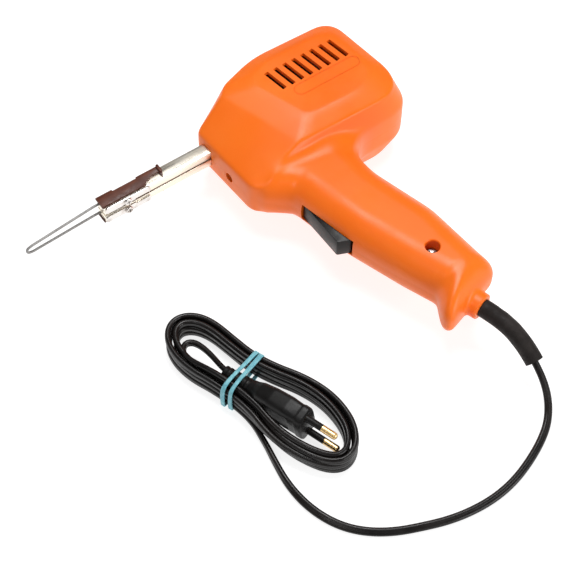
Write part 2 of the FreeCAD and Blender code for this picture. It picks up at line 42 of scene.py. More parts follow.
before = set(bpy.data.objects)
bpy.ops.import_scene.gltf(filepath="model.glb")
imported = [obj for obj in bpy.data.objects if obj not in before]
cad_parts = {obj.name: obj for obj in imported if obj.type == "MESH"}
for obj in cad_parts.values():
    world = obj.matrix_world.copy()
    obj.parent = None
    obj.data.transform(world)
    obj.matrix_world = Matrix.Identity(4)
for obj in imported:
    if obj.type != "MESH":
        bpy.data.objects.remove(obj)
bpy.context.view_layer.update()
MM = 0.001

bar_low, bar_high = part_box("arm_left")
half_low, half_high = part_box("housing_left")
BAR_REACH = 69.5                # the bars' front end ahead of the nose
NOSE = Vector((bar_low.x + BAR_REACH * MM, (bar_low.y + bar_high.y) / 2, half_low.z))
HALF_THICK = (half_high.z - half_low.z) / MM


# ---- camera -------------------------------------------------------------------------------------
CAMERA_TARGET = Vector((-0.0012, -0.0075, 0.0))
CAMERA_DISTANCE = 0.84
CAMERA_AZIMUTH = -35.0
CAMERA_ELEVATION = 56.0
CAMERA_LENS = 95.74


def make_camera():
    azimuth = math.radians(CAMERA_AZIMUTH)
    elevation = math.radians(CAMERA_ELEVATION)
    back = Vector((math.sin(azimuth) * math.cos(elevation), -math.cos(azimuth) * math.cos(elevation),
                   math.sin(elevation)))
    camera = bpy.data.objects.new("camera", bpy.data.cameras.new("camera"))
    camera.data.lens = CAMERA_LENS
    camera.data.sensor_width = 36.0
    camera.location = CAMERA_TARGET + back * CAMERA_DISTANCE
    camera.rotation_euler = back.to_track_quat("Z", "Y").to_euler()
    camera.data.clip_end = 10.0
    bpy.context.scene.collection.objects.link(camera)
    bpy.context.scene.camera = camera


make_camera()


# ---- materials ----------------------------------------------------------------------------------
class Finish:
    """A procedural material: a Principled shader with noise-driven colour, roughness and relief."""

    def __init__(self, name, color, roughness, metallic=0.0, **sockets):
        self.material = bpy.data.materials.new(name)
        self.material.use_nodes = True
        self.material.diffuse_color = (*color, 1.0)
        self.nodes = self.material.node_tree.nodes
        self.links = self.material.node_tree.links
        self.shader = self.nodes["Principled BSDF"]
        self.color = color
        self.height = None
        self.shader.inputs["Base Color"].default_value = (*color, 1.0)
        self.shader.inputs["Roughness"].default_value = roughness
        self.shader.inputs["Metallic"].default_value = metallic
        for socket, value in sockets.items():
            self.shader.inputs[socket.replace("_", " ")].default_value = value
        self.place = self.nodes.new("ShaderNodeTexCoord").outputs["Object"]

    def noise(self, scale, detail=4.0, stretch=(1, 1, 1), turn=(0, 0, 0)):
        """Noise of so many cells a metre; stretch scales it along the axes after turning it."""
        mapping = self.nodes.new("ShaderNodeMapping")
        mapping.inputs["Scale"].default_value = stretch
        mapping.inputs["Rotation"].default_value = turn
        self.links.new(self.place, mapping.inputs["Vector"])
        texture = self.nodes.new("ShaderNodeTexNoise")
        texture.inputs["Scale"].default_value = scale
        texture.inputs["Detail"].default_value = detail
        self.links.new(mapping.outputs["Vector"], texture.inputs["Vector"])
        return texture.outputs["Fac"]

    def ranged(self, value, low, high, start=0.35, end=0.65):
        scale = self.nodes.new("ShaderNodeMapRange")
        scale.inputs["From Min"].default_value = start
        scale.inputs["From Max"].default_value = end
        scale.inputs["To Min"].default_value = low
        scale.inputs["To Max"].default_value = high
        self.links.new(value, scale.inputs["Value"])
        return scale.outputs["Result"]

    def mottle(self, other, value, start=0.4, end=0.65):
        """Colour turns to another one where the noise is high."""
        mix = self.nodes.new("ShaderNodeMix")
        mix.data_type = "RGBA"
        base = self.shader.inputs["Base Color"]
        if base.is_linked:
            self.links.new(base.links[0].from_socket, mix.inputs["A"])
        else:
            mix.inputs["A"].default_value = (*self.color, 1.0)
        mix.inputs["B"].default_value = (*other, 1.0)
        self.links.new(self.ranged(value, 0.0, 1.0, start, end), mix.inputs["Factor"])
        self.links.new(mix.outputs["Result"], base)
        return self

    def smudge(self, value, low, high, start=0.35, end=0.65):
        """Roughness varies with the noise."""
        self.links.new(self.ranged(value, low, high, start, end), self.shader.inputs["Roughness"])
        return self

    def relief(self, value, distance, strength=1.0):
        """Bump of that height in metres."""
        bump = self.nodes.new("ShaderNodeBump")
        bump.inputs["Distance"].default_value = distance
        bump.inputs["Strength"].default_value = strength
        self.links.new(value, bump.inputs["Height"])
        if self.height is not None:
            self.links.new(self.height, bump.inputs["Normal"])
        self.height = bump.outputs["Normal"]
        self.links.new(self.height, self.shader.inputs["Normal"])
        return self


def orange_plastic():
    f = Finish("orange_abs", (0.93, 0.150, 0.007), 0.34, Specular_IOR_Level=0.3, Subsurface_Weight=0.08,
               Subsurface_Radius=(0.004, 0.0015, 0.0006), Subsurface_Scale=0.8)
    f.mottle((0.97, 0.178, 0.011), f.noise(18.0, 2.0), 0.35, 0.7)
    f.smudge(f.noise(60.0, 5.0), 0.3, 0.42)
    f.relief(f.noise(1400.0, 2.0), 0.00001, 0.35)
    f.relief(f.noise(22.0, 1.0), 0.00022, 0.12)
    return f.material


def tinned_copper():
    f = Finish("tinned_copper_bar", (0.95, 0.89, 0.78), 0.36, 1.0)
    f.mottle((0.80, 0.68, 0.50), f.noise(70.0, 4.0, (0.25, 1, 1)), 0.42, 0.72)
    f.smudge(f.noise(500.0, 3.0, (0.05, 1, 1)), 0.2, 0.42)
    f.relief(f.noise(1500.0, 3.0, (0.03, 1, 1)), 0.00003, 0.5)
    return f.material


def nickel_steel():
    f = Finish("nickel_plated_steel", (0.80, 0.77, 0.74), 0.2, 1.0)
    f.mottle((0.46, 0.40, 0.36), f.noise(160.0, 5.0), 0.52, 0.75)
    f.smudge(f.noise(300.0, 4.0, (0.2, 1, 1)), 0.16, 0.38)
    f.relief(f.noise(900.0, 3.0, (0.1, 1, 1)), 0.00003, 0.4)
    return f.material


# Zinc-plated steel with its base colour darkened well below plain zinc: painted shade, so a screw head
# sunk in its recess shows no bright glint; every screw, bolt, nut, pin and spring using this finish is
# darkened the same way
def zinc_steel_with_painted_shade():
    f = Finish("zinc_plated_steel_painted_shade", (0.36, 0.35, 0.35), 0.3, 1.0)
    f.mottle((0.36, 0.34, 0.30), f.noise(240.0, 4.0), 0.5, 0.75)
    f.smudge(f.noise(600.0, 3.0), 0.22, 0.42)
    return f.material


def tip_wire():
    f = Finish("tinned_wire", (0.30, 0.29, 0.28), 0.5, 0.35, Specular_IOR_Level=0.4)
    f.mottle((0.22, 0.21, 0.20), f.noise(40.0, 3.0), 0.45, 0.7)
    return f.material


def phenolic():
    f = Finish("paper_phenolic", (0.075, 0.017, 0.007), 0.42, Specular_IOR_Level=0.4)
    f.mottle((0.14, 0.036, 0.014), f.noise(260.0, 6.0, (0.35, 1, 1)), 0.45, 0.68)
    f.smudge(f.noise(320.0, 4.0), 0.34, 0.55)
    f.relief(f.noise(900.0, 4.0, (0.4, 1, 1)), 0.00005, 0.5)
    return f.material


def core_steel():
    f = Finish("laminated_core", (0.085, 0.08, 0.078), 0.5, 0.8)
    layers = f.nodes.new("ShaderNodeTexWave")
    layers.bands_direction = "Z"
    layers.inputs["Scale"].default_value = 320.0
    f.links.new(f.place, layers.inputs["Vector"])
    f.mottle((0.16, 0.12, 0.09), f.noise(120.0, 4.0), 0.5, 0.7)
    f.relief(layers.outputs["Fac"], 0.0001, 0.8)
    return f.material


def enamelled_copper():
    f = Finish("enamelled_copper", (0.50, 0.17, 0.06), 0.25, 0.85, Coat_Weight=0.5)
    turns = f.nodes.new("ShaderNodeTexWave")
    turns.bands_direction = "Y"
    turns.inputs["Scale"].default_value = 480.0
    f.links.new(f.place, turns.inputs["Vector"])
    f.relief(turns.outputs["Fac"], 0.00025, 1.0)
    f.mottle((0.34, 0.10, 0.035), f.noise(150.0, 3.0), 0.45, 0.65)
    return f.material


def simple_plastic(name, color, other, roughness, grain):
    """Moulded plastic with a faint mottle and a fine grain."""
    f = Finish(name, color, roughness, Specular_IOR_Level=0.22)
    f.mottle(other, f.noise(90.0, 4.0), 0.4, 0.7)
    f.smudge(f.noise(140.0, 4.0), roughness * 0.8, roughness * 1.2)
    f.relief(f.noise(1600.0, 2.0), grain, 0.5)
    return f.material


def brass():
    f = Finish("brass", (0.82, 0.57, 0.27), 0.2, 1.0)
    f.mottle((0.70, 0.45, 0.20), f.noise(120.0, 3.0), 0.48, 0.72)
    f.smudge(f.noise(300.0, 3.0), 0.26, 0.36)
    return f.material


def lamp_glass():
    f = Finish("lamp_glass", (0.95, 0.93, 0.88), 0.05, Transmission_Weight=0.9, IOR=1.5)
    f.relief(f.noise(300.0, 2.0), 0.00002, 0.3)
    return f.material


def cord_pvc():
    f = Finish("cord_pvc", (0.005, 0.004, 0.004), 0.3, Specular_IOR_Level=0.3)
    f.mottle((0.011, 0.008, 0.007), f.noise(35.0, 4.0), 0.4, 0.7)
    f.smudge(f.noise(120.0, 4.0), 0.22, 0.42)
    f.relief(f.noise(1200.0, 3.0), 0.00003, 0.4)
    return f.material


def boot_rubber():
    f = Finish("boot_rubber", (0.011, 0.008, 0.007), 0.6, Specular_IOR_Level=0.25)
    f.mottle((0.028, 0.022, 0.020), f.noise(110.0, 5.0), 0.4, 0.7)
    f.smudge(f.noise(200.0, 4.0), 0.5, 0.75)
    f.relief(f.noise(900.0, 5.0), 0.00012, 0.6)
    return f.material


def band_rubber():
    f = Finish("band_rubber", (0.14, 0.42, 0.50), 0.5, Subsurface_Weight=0.2,
               Subsurface_Radius=(0.001, 0.001, 0.001), Subsurface_Scale=0.5)
    f.mottle((0.24, 0.56, 0.62), f.noise(260.0, 4.0), 0.4, 0.65)
    f.relief(f.noise(900.0, 4.0), 0.00006, 0.6)
    return f.material


MATERIALS = {
    "orange": orange_plastic(),
    "bar": tinned_copper(),
    "clamp": nickel_steel(),
    "screw": zinc_steel_with_painted_shade(),
    "wire": tip_wire(),
    "phenolic": phenolic(),
    "core": core_steel(),
    "copper": enamelled_copper(),
    "nylon": simple_plastic("nylon", (0.74, 0.70, 0.60), (0.66, 0.60, 0.48), 0.45, 0.00002),
    "tape": simple_plastic("polyester_tape", (0.62, 0.46, 0.08), (0.70, 0.52, 0.12), 0.3, 0.00002),
    "black": simple_plastic("black_moulding", (0.0035, 0.0025, 0.0022), (0.006, 0.0045, 0.004),
                            0.32, 0.00003),
    "plug": simple_plastic("plug_pvc", (0.003, 0.0025, 0.0025), (0.005, 0.0045, 0.004), 0.45, 0.00004),
    "brass": brass(),
    "glass": lamp_glass(),
    "brown_lead": simple_plastic("brown_pvc", (0.10, 0.035, 0.012), (0.14, 0.05, 0.02), 0.35, 0.00002),
    "blue_lead": simple_plastic("blue_pvc", (0.02, 0.08, 0.32), (0.03, 0.11, 0.38), 0.35, 0.00002),
    "cord": cord_pvc(),
    "boot": boot_rubber(),
    "band": band_rubber(),
}


# ---- mesh helpers -------------------------------------------------------------------------------
def new_mesh(name, verts, faces, material, smooth=True):
    mesh = bpy.data.meshes.new(name)
    mesh.from_pydata([tuple(v) for v in verts], [], [tuple(f) for f in faces])
    mesh.materials.append(MATERIALS[material])
    mesh.polygons.foreach_set("use_smooth", [smooth] * len(mesh.polygons))
    mesh.update()
    obj = bpy.data.objects.new(name, mesh)
    bpy.context.scene.collection.objects.link(obj)
    return obj


def in_row(points):
    """Gun coordinates in millimetres to the row frame in metres."""
    return np.asarray(points, float) * MM + np.array(NOSE)


def baked(obj):
    """The object's mesh with its modifiers applied."""
    graph = bpy.context.evaluated_depsgraph_get()
    mesh = bpy.data.meshes.new_from_object(obj.evaluated_get(graph))
    obj.modifiers.clear()
    obj.data = mesh
    return obj


def carve(obj, tool, operation="DIFFERENCE"):
    """Boolean with a tool, which is used up."""
    modifier = obj.modifiers.new("carve", "BOOLEAN")
    modifier.object = tool
    modifier.operation = operation
    modifier.solver = "MANIFOLD"
    baked(obj)
    bpy.data.objects.remove(tool)
    return obj


def prism(outline, z0, z1, flare=0.0):
    """Solid over a closed plan outline; flare widens its upper end."""
    ring = np.array(outline, float)
    centre = ring.mean(axis=0)
    away = ring - centre
    away /= np.linalg.norm(away, axis=1)[:, None]
    count = len(ring)
    verts = [(x, y, z0) for x, y in ring] + [(x, y, z1) for x, y in ring + away * flare]
    faces = [tuple(reversed(range(count))), tuple(range(count, 2 * count))]
    faces += [(i, (i + 1) % count, count + (i + 1) % count, count + i) for i in range(count)]
    return new_mesh("tool", verts, faces, "orange", False)


def block(x0, x1, y0, y1, z0, z1):
    return prism([(x0, y0), (x1, y0), (x1, y1), (x0, y1)], z0, z1)


def rod(start, end, radius, end_radius=None, sides=48):
    axis = Vector(end) - Vector(start)
    turn = axis.to_track_quat("Z", "Y").to_matrix()
    rings = []
    for base, r in ((Vector(start), radius), (Vector(end), end_radius or radius)):
        for i in range(sides):
            a = 2 * math.pi * i / sides
            rings.append(base + turn @ Vector((r * math.cos(a), r * math.sin(a), 0)))
    faces = [tuple(reversed(range(sides))), tuple(range(sides, 2 * sides))]
    faces += [(i, (i + 1) % sides, sides + (i + 1) % sides, sides + i) for i in range(sides)]
    return new_mesh("tool", rings, faces, "orange", False)


def crisp(obj, degrees=32.0):
    obj.data.polygons.foreach_set("use_smooth", [True] * len(obj.data.polygons))
    obj.data.set_sharp_from_angle(angle=math.radians(degrees))
    return obj


def softened(node, material, width, body="casing", degrees=25.0):
    """A CAD node shown with its edges rounded off, in its finish."""
    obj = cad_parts[node].copy()
    obj.data = obj.data.copy()
    obj.name = node + "_finished"
    for key in list(obj.keys()):
        del obj[key]
    obj.parent = None
    bpy.context.scene.collection.objects.link(obj)
    work = bmesh.new()
    work.from_mesh(obj.data)
    bmesh.ops.remove_doubles(work, verts=work.verts, dist=0.000002)
    bmesh.ops.dissolve_limit(work, angle_limit=math.radians(0.6), verts=work.verts, edges=work.edges)
    work.to_mesh(obj.data)
    work.free()
    bevel = obj.modifiers.new("bevel", "BEVEL")
    bevel.width = width * MM
    bevel.segments = 2
    bevel.limit_method = "ANGLE"
    bevel.angle_limit = math.radians(degrees)
    bevel.harden_normals = False
    baked(obj)
    obj.data.materials.clear()
    obj.data.materials.append(MATERIALS[material])
    crisp(obj, 40.0)
    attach(obj, body)
    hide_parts(node)
    return obj


def paint(node, material):
    """A CAD node that keeps its shape gets its finish."""
    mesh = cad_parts[node].data
    mesh.materials.clear()
    mesh.materials.append(MATERIALS[material])


# ---- swept pieces -------------------------------------------------------------------------------
def spline_line(points, name, resolution=8):
    """Points along the NURBS spline that has these control points."""
    curve = bpy.data.curves.new(name, "CURVE")
    curve.dimensions = "3D"
    curve.resolution_u = resolution
    spline = curve.splines.new("NURBS")
    spline.points.add(len(points) - 1)
    for point, place in zip(spline.points, points):
        point.co = (*place, 1.0)
    spline.order_u = 3
    spline.use_endpoint_u = True
    holder = bpy.data.objects.new(name, curve)
    bpy.context.scene.collection.objects.link(holder)
    bpy.context.view_layer.update()
    mesh = bpy.data.meshes.new_from_object(holder)
    line = np.array([v.co for v in mesh.vertices])
    bpy.data.objects.remove(holder)
    bpy.data.meshes.remove(mesh)
    return line


def along(line):
    """Distance of each point from the line's start."""
    steps = np.linalg.norm(np.diff(line, axis=0), axis=1)
    return np.concatenate([[0.0], np.cumsum(steps)])


def spaced(line, step):
    """The same line with evenly spaced points."""
    distance = along(line)
    even = np.linspace(0.0, distance[-1], max(2, int(round(distance[-1] / step)) + 1))
    return np.stack([np.interp(even, distance, line[:, i]) for i in range(3)], axis=1)


def frames_of(line, up=(0, 0, 1), closed=False):
    """Tangent, level side and upper direction at each point of a line."""
    if closed:
        tangent = np.roll(line, -1, axis=0) - np.roll(line, 1, axis=0)
    else:
        tangent = np.gradient(line, axis=0)
    tangent /= np.linalg.norm(tangent, axis=1)[:, None]
    side = np.cross(tangent, np.broadcast_to(up, tangent.shape))
    side /= np.linalg.norm(side, axis=1)[:, None]
    return tangent, side, np.cross(side, tangent)


def ring_faces(rows, count, closed=False, caps=False):
    """Quads between rings of count points each, closed into a loop or capped at both ends."""
    faces = []
    for i in range(rows if closed else rows - 1):
        a, b = i * count, ((i + 1) % rows) * count
        faces += [(a + j, a + (j + 1) % count, b + (j + 1) % count, b + j) for j in range(count)]
    if caps:
        faces.append(tuple(reversed(range(count))))
        faces.append(tuple((rows - 1) * count + j for j in range(count)))
    return faces


def sweep(name, line, section, material, turn=None, scale=None, closed=False, frames=None):
    """Mesh of a section carried along a line; turn rolls it and scale sizes it at each point."""
    _, side, top = frames or frames_of(line, closed=closed)
    turn = np.zeros(len(line)) if turn is None else turn
    scale = np.ones(len(line)) if scale is None else scale
    c, s = np.cos(turn)[:, None], np.sin(turn)[:, None]
    across = side * c + top * s
    upward = top * c - side * s
    section = np.array(section, float)
    rings = line[:, None, :] + (across[:, None, :] * section[None, :, :1]
                                + upward[:, None, :] * section[None, :, 1:]) * scale[:, None, None]
    faces = ring_faces(len(line), len(section), closed, not closed)
    return new_mesh(name, rings.reshape(-1, 3), faces, material)


# ---- mains lead: free stretch, hank and the run to the plug --------------------------------------
# control points of the free stretch, the same as in the CAD, row frame in metres
LEAD = [(0.06544, -0.09797, 0.029), (0.06943, -0.11118, 0.029), (0.0716, -0.1248, 0.024),
        (0.0718, -0.1372, 0.0172), (0.0706, -0.147, 0.0108), (0.0668, -0.1552, 0.006),
        (0.0598, -0.1628, 0.0029), (0.05, -0.1686, 0.00195), (0.0384, -0.1736, 0.00195),
        (0.0256, -0.1776, 0.00195), (0.012, -0.1794, 0.00195), (-0.0024, -0.1786, 0.00195),
        (-0.0164, -0.1756, 0.00195), (-0.0296, -0.1706, 0.00195), (-0.042, -0.1652, 0.00195),
        (-0.053, -0.1578, 0.00195), (-0.0616, -0.1486, 0.00195), (-0.0674, -0.1374, 0.00195),
        (-0.0706, -0.1248, 0.00195), (-0.0712, -0.1116, 0.0022), (-0.0694, -0.0988, 0.0024),
        (-0.0672, -0.0866, 0.0024)]
CORD_WIDTH = 0.0046
CORD_THICK = 0.0030
GROOVE_HALF = 0.0004            # half width of the groove between the flex's cores
GROOVE_DEPTH = 0.00012
TURN_LENGTH = 0.05              # over which the flex turns from flat on the ground to on edge
BOOT_LENGTH = 0.0415
BOOT_RADIUS = 0.0051
BOOT_WALL = 0.0013
CREASE_PLACE = 0.011            # the boot's creases, behind its start
CREASE_REACH = 0.006
CREASE_DEPTH = 0.00016

# outer edge of the hank in plan, clockwise from where the free stretch joins it
HANK_EDGE = [(-0.0670, -0.0720), (-0.0698, -0.0580), (-0.0738, -0.0450), (-0.0785, -0.0335),
             (-0.0806, -0.0220), (-0.0795, -0.0115), (-0.0750, -0.0035), (-0.0675, 0.0000),
             (-0.0600, -0.0018), (-0.0538, -0.0075), (-0.0496, -0.0165), (-0.0470, -0.0290),
             (-0.0440, -0.0430), (-0.0382, -0.0560), (-0.0303, -0.0690), (-0.0252, -0.0830),
             (-0.0238, -0.0960), (-0.0253, -0.1085), (-0.0308, -0.1185), (-0.0405, -0.1243),
             (-0.0510, -0.1205), (-0.0592, -0.1090), (-0.0646, -0.0960), (-0.0668, -0.0840)]
TIE_Y = -0.050                  # where the band holds the hank
# ring (counted inwards) and layer of each turn, then of the last part turn on top
PLACES = ((0, 0), (1, 0), (1, 1), (0, 1), (0, 2), (1, 2), (1, 2.8))
TURNS = 6
LAST_STEPS = 3                  # points of the last part turn, up the near side
MOVE_START = 18                 # point of a turn where the change to the next place begins
MOVE_STEPS = 6
LOOSE_REACH = 0.04              # from the tie to where the strands lie fully loose
STRAND_GAP = 0.0002
STRAND_PITCH = CORD_WIDTH + 0.0001
RING_PITCH = CORD_THICK + STRAND_GAP
# how far each turn stands out at the hank's ends, where nothing ties it
FAN = (0.0007, -0.0004, -0.0008, 0.0002, 0.0009, -0.0002, -0.0006)
TO_PLUG = [(-0.0757, -0.0265, 0.0128), (-0.0748, -0.0200, 0.0116), (-0.0708, -0.0163, 0.0110),
           (-0.0665, -0.0187, 0.0112), (-0.0644, -0.0255, 0.0118), (-0.0637, -0.0335, 0.0126),
           (-0.0637, -0.0415, 0.0136), (-0.0620, -0.0500, 0.0140), (-0.0600, -0.0560, 0.0140)]


def hank_points():
    """Control points of the hank's turns, laid two strands wide and three high."""
    edge = np.array(HANK_EDGE)
    count = len(edge)
    tangent = np.roll(edge, -1, axis=0) - np.roll(edge, 1, axis=0)
    tangent /= np.linalg.norm(tangent, axis=1)[:, None]
    inwards = np.stack([tangent[:, 1], -tangent[:, 0]], axis=1)
    points = []
    for step in range(TURNS * count + LAST_STEPS):
        turn, i = divmod(step, count)
        # the change to the next place happens over the near side's lower strands
        move = min(max((i - MOVE_START) / MOVE_STEPS, 0.0), 1.0)
        places = [PLACES[turn], PLACES[min(turn + 1, TURNS)]]
        ring, layer = (places[0][k] + (places[1][k] - places[0][k]) * move for k in (0, 1))
        loose = min(abs(edge[i][1] - TIE_Y) / LOOSE_REACH, 1.0)
        fan = FAN[turn] + (FAN[min(turn + 1, TURNS)] - FAN[turn]) * move
        inset = CORD_THICK / 2 + STRAND_GAP + ring * RING_PITCH - fan * loose
        place = edge[i] + inwards[i] * inset
        height = CORD_WIDTH / 2 + STRAND_GAP + layer * STRAND_PITCH
        points.append((place[0], place[1], height))
    return points


def flex_section():
    """Outline of flat flex: two flat sides, round edges and a faint groove between its two cores."""
    lobe = CORD_THICK / 2
    flat = CORD_WIDTH / 2 - lobe
    outline = []
    for side in (1, -1):
        for i in range(9):
            a = math.pi * (i / 8 - 0.5)
            outline.append((side * (flat + lobe * math.cos(a)), side * lobe * math.sin(a)))
        outline.append((side * GROOVE_HALF, side * lobe))
        outline.append((0.0, side * (lobe - GROOVE_DEPTH)))
        outline.append((-side * GROOVE_HALF, side * lobe))
    return outline


def mains_lead():
    controls = LEAD + hank_points() + TO_PLUG
    line = spaced(spline_line(controls, "lead_route"), 0.0016)
    distance = along(line)
    free = along(spline_line(LEAD, "free_route"))[-1]
    # flat on the ground, on edge in the hank
    on_edge = np.clip((distance - free + TURN_LENGTH) / TURN_LENGTH, 0, 1)
    on_edge = on_edge * on_edge * (3 - 2 * on_edge)
    wobble = 0.16 * np.sin(distance * 47.0) + 0.1 * np.sin(distance * 111.0)
    turn = 0.5 * (1 - on_edge) + (math.pi / 2 + wobble) * on_edge
    cord = sweep("mains_cord", line, flex_section(), "cord", turn)
    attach(cord, "casing")
    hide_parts("cord", "cord_hank")
    return cord, line, distance


cord, cord_line, cord_distance = mains_lead()


def boot():
    """Sleeve of matte rubber over the lead, slightly creased where it bends."""
    inside = cord_distance <= BOOT_LENGTH
    line = spaced(cord_line[inside], 0.0008)
    s = along(line)
    _, side, top = frames_of(line)
    sides = 40
    rows = []
    for i, (centre, u, v) in enumerate(zip(line, side, top)):
        ring = []
        for j in range(sides):
            a = 2 * math.pi * j / sides
            inner_bend = max(0.0, -math.cos(a - 0.35))
            fading = math.exp(-((s[i] - CREASE_PLACE) / CREASE_REACH) ** 2)
            crease = CREASE_DEPTH * inner_bend * math.sin(s[i] * 900.0) * fading
            oval = 1.0 - 0.03 * math.cos(2 * a) * s[i] / BOOT_LENGTH
            radius = BOOT_RADIUS * oval - crease
            ring.append(centre + (u * math.cos(a) + v * math.sin(a)) * radius)
        rows.append(ring)
    inward = 1 - BOOT_WALL / BOOT_RADIUS
    lining = [[line[i] + (p - line[i]) * inward for p in rows[i]] for i in reversed(range(len(rows)))]
    rows = [[line[0] + (p - line[0]) * 0.6 for p in rows[0]]] + rows + lining
    verts = [p for ring in rows for p in ring]
    obj = crisp(new_mesh("boot", verts, ring_faces(len(rows), sides), "boot"), 50)
    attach(obj, "casing")
    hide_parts("cord_boot")
    return obj


boot_piece = boot()


# ---- plug ---------------------------------------------------------------------------------------
PLUG_AXIS = Vector((0.320, -0.947, 0.0)).normalized()
PLUG_FRONT = Vector((-0.0466, -0.0955, 0.0140))
PLUG_ROLL = math.radians(9.0)
# distance behind the front face, half thickness, half width, squareness of the section (mm)
PLUG_STATIONS = [(0.0, 5.8, 11.3, 4.6), (0.7, 6.4, 11.9, 4.6), (4.0, 6.5, 12.0, 4.6),
                 (5.0, 6.0, 11.7, 4.8), (12.0, 6.4, 11.8, 4.6), (22.0, 6.2, 10.6, 4.0),
                 (30.0, 5.7, 8.2, 3.2), (34.0, 5.0, 5.6, 2.4), (37.0, 4.7, 4.7, 2.0),
                 (54.0, 3.4, 3.4, 2.0)]
RELIEF_START = 37.0
RELIEF_END = 54.0
RELIEF_RIBS = 2.4
RIB_DEPTH = 0.35
PANEL = (8.5, 24.0, 7.4)        # recessed grip: from, to, half width
PANEL_DEPTH = 0.75
PANEL_EDGE = 0.7


def plug():
    """Moulded flat plug: flanged front, recessed grips on both faces and a ribbed relief."""
    stations = np.array(PLUG_STATIONS)
    back = np.concatenate([[0.0], np.linspace(0.25, RELIEF_END, 170)])
    half_t, half_w, square = (np.interp(back, stations[:, 0], stations[:, k]) for k in (1, 2, 3))
    kernel = np.hanning(7)
    kernel /= kernel.sum()
    smooth = [np.convolve(np.pad(v, 3, mode="edge"), kernel, "valid") for v in (half_t, half_w, square)]
    half_t, half_w, square = smooth
    side = PLUG_AXIS.cross(Vector((0, 0, 1)))
    upright = Matrix.Rotation(PLUG_ROLL, 3, PLUG_AXIS) @ Vector((0, 0, 1))
    side = Matrix.Rotation(PLUG_ROLL, 3, PLUG_AXIS) @ side
    sides = 96
    verts = []
    for row, z in enumerate(back):
        rib = 0.0
        if z > RELIEF_START:
            rib = RIB_DEPTH * max(0.0, math.sin(2 * math.pi * (z - RELIEF_START) / RELIEF_RIBS))
        for j in range(sides):
            a = 2 * math.pi * j / sides
            power = 2 / square[row]
            x = half_t[row] * math.copysign(abs(math.cos(a)) ** power, math.cos(a))
            y = half_w[row] * math.copysign(abs(math.sin(a)) ** power, math.sin(a))
            edge = min(z - PANEL[0], PANEL[1] - z, PANEL[2] - abs(y))
            dip = PANEL_DEPTH * min(max(edge / PANEL_EDGE, 0.0), 1.0)
            x -= math.copysign(dip, x) if abs(x) > half_t[row] * 0.8 else 0.0
            spread = 1 - rib / max(half_t[row], 1.0)
            verts.append(PLUG_FRONT - PLUG_AXIS * (z * MM) + (side * x + upright * y) * (MM * spread))
    faces = ring_faces(len(back), sides, caps=True)
    obj = crisp(new_mesh("plug_moulding", verts, faces, "plug"), 55)
    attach(obj, "casing")
    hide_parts("plug_body")
    return obj


plug_piece = plug()


# ---- band ---------------------------------------------------------------------------------------
BAND_WIDTH = 0.0022
BAND_THICK = 0.0009
# a round's outline in its own plane: out along the hank's width as a share of half of it, up in mm;
# then the two rounds, each from where it crosses the far bundle of strands to the near one
BAND_OUTLINE = [(-1.0, 0.6), (-1.02, 4.0), (-1.02, 11.5), (-0.97, 17.4), (-0.7, 19.2), (-0.3, 18.6),
                (0.0, 17.6), (0.3, 16.6), (0.7, 15.6), (0.97, 14.8), (1.02, 11.0), (1.02, 4.0),
                (1.0, 0.6), (0.9, 0.45), (0.5, 0.45), (0.0, 0.45), (-0.5, 0.45), (-0.9, 0.45)]
BAND_ROUNDS = (((-0.0428, -0.0444), (-0.0724, -0.0548)), ((-0.0418, -0.0474), (-0.0704, -0.0590)))


def band():
    """Two rounds of flat rubber band, each stretched over the hank and the plug's lead."""
    rounds = []
    for number, (far, near) in enumerate(BAND_ROUNDS):
        far, near = Vector((*far, 0)), Vector((*near, 0))
        across = (far - near).normalized()
        middle = (far + near) / 2
        half = (far - near).length / 2
        upright = Vector((0, 0, 1))
        corners = [middle + across * (w * half) + upright * ((h + 0.25 * number) * MM)
                   for w, h in BAND_OUTLINE]
        line = closed_line(corners)
        centre = middle + upright * 0.009
        outwards = line - np.array(centre)
        tangent = np.roll(line, -1, axis=0) - np.roll(line, 1, axis=0)
        tangent /= np.linalg.norm(tangent, axis=1)[:, None]
        side = np.cross(tangent, outwards)
        side /= np.linalg.norm(side, axis=1)[:, None]
        top = np.cross(side, tangent)
        w, t = BAND_WIDTH / 2, BAND_THICK / 2
        section = [(-w, -t), (-w, t * 0.6), (-w * 0.8, t), (-w * 0.2, t * 0.8), (w * 0.3, t),
                   (w * 0.8, t), (w, t * 0.6), (w, -t)]
        s = along(line)
        pinch = 1.0 + 0.12 * np.sin(s * 160.0 + number)
        rounds.append(sweep("band_round", line, section, "band", None, pinch, True, (tangent, side, top)))
    merged = joined("rubber_band", *rounds)
    crisp(merged, 60)
    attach(merged, "casing")
    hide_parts("cord_band")
    return merged


def closed_line(corners):
    """A smooth closed line near these corners (each run's middle joined by a quadratic curve)."""
    pts = np.array([tuple(c) for c in corners])
    out = []
    count = len(pts)
    for i in range(count):
        a = (pts[i - 1] + pts[i]) / 2
        b = pts[i]
        c = (pts[i] + pts[(i + 1) % count]) / 2
        for t in np.linspace(0, 1, 7)[:-1]:
            out.append(a * (1 - t) ** 2 + 2 * b * t * (1 - t) + c * t * t)
    return np.array(out)


def joined(name, *objects):
    """The objects as one."""
    work = bmesh.new()
    for o in objects:
        work.from_mesh(o.data)
    target = objects[0]
    work.to_mesh(target.data)
    work.free()
    for o in objects[1:]:
        bpy.data.objects.remove(o)
    target.name = name
    return target


band_piece = band()


# ---- casing: a smooth implicit shape ---------------------------------------------------------------
# corners of the head's outline at three heights: the middle, the side panel's border, its flat
HEAD = [((0.0, 9.0), (20.0, 13.0), (37.5, 6.0)),
        ((21.0, 21.5), (26.0, 19.6), (40.5, 13.6)),
        ((50.0, 27.9), (50.0, 27.3), (52.0, 18.2)),
        ((106.5, 28.0), (104.3, 25.6), (97.5, 17.6)),
        ((115.6, -44.5), (111.5, -41.6), (102.0, -31.4)),
        ((24.0, -46.5), (43.0, -39.6), (54.0, -29.6)),
        ((2.6, -45.0), (36.6, -38.6), (49.0, -27.4))]
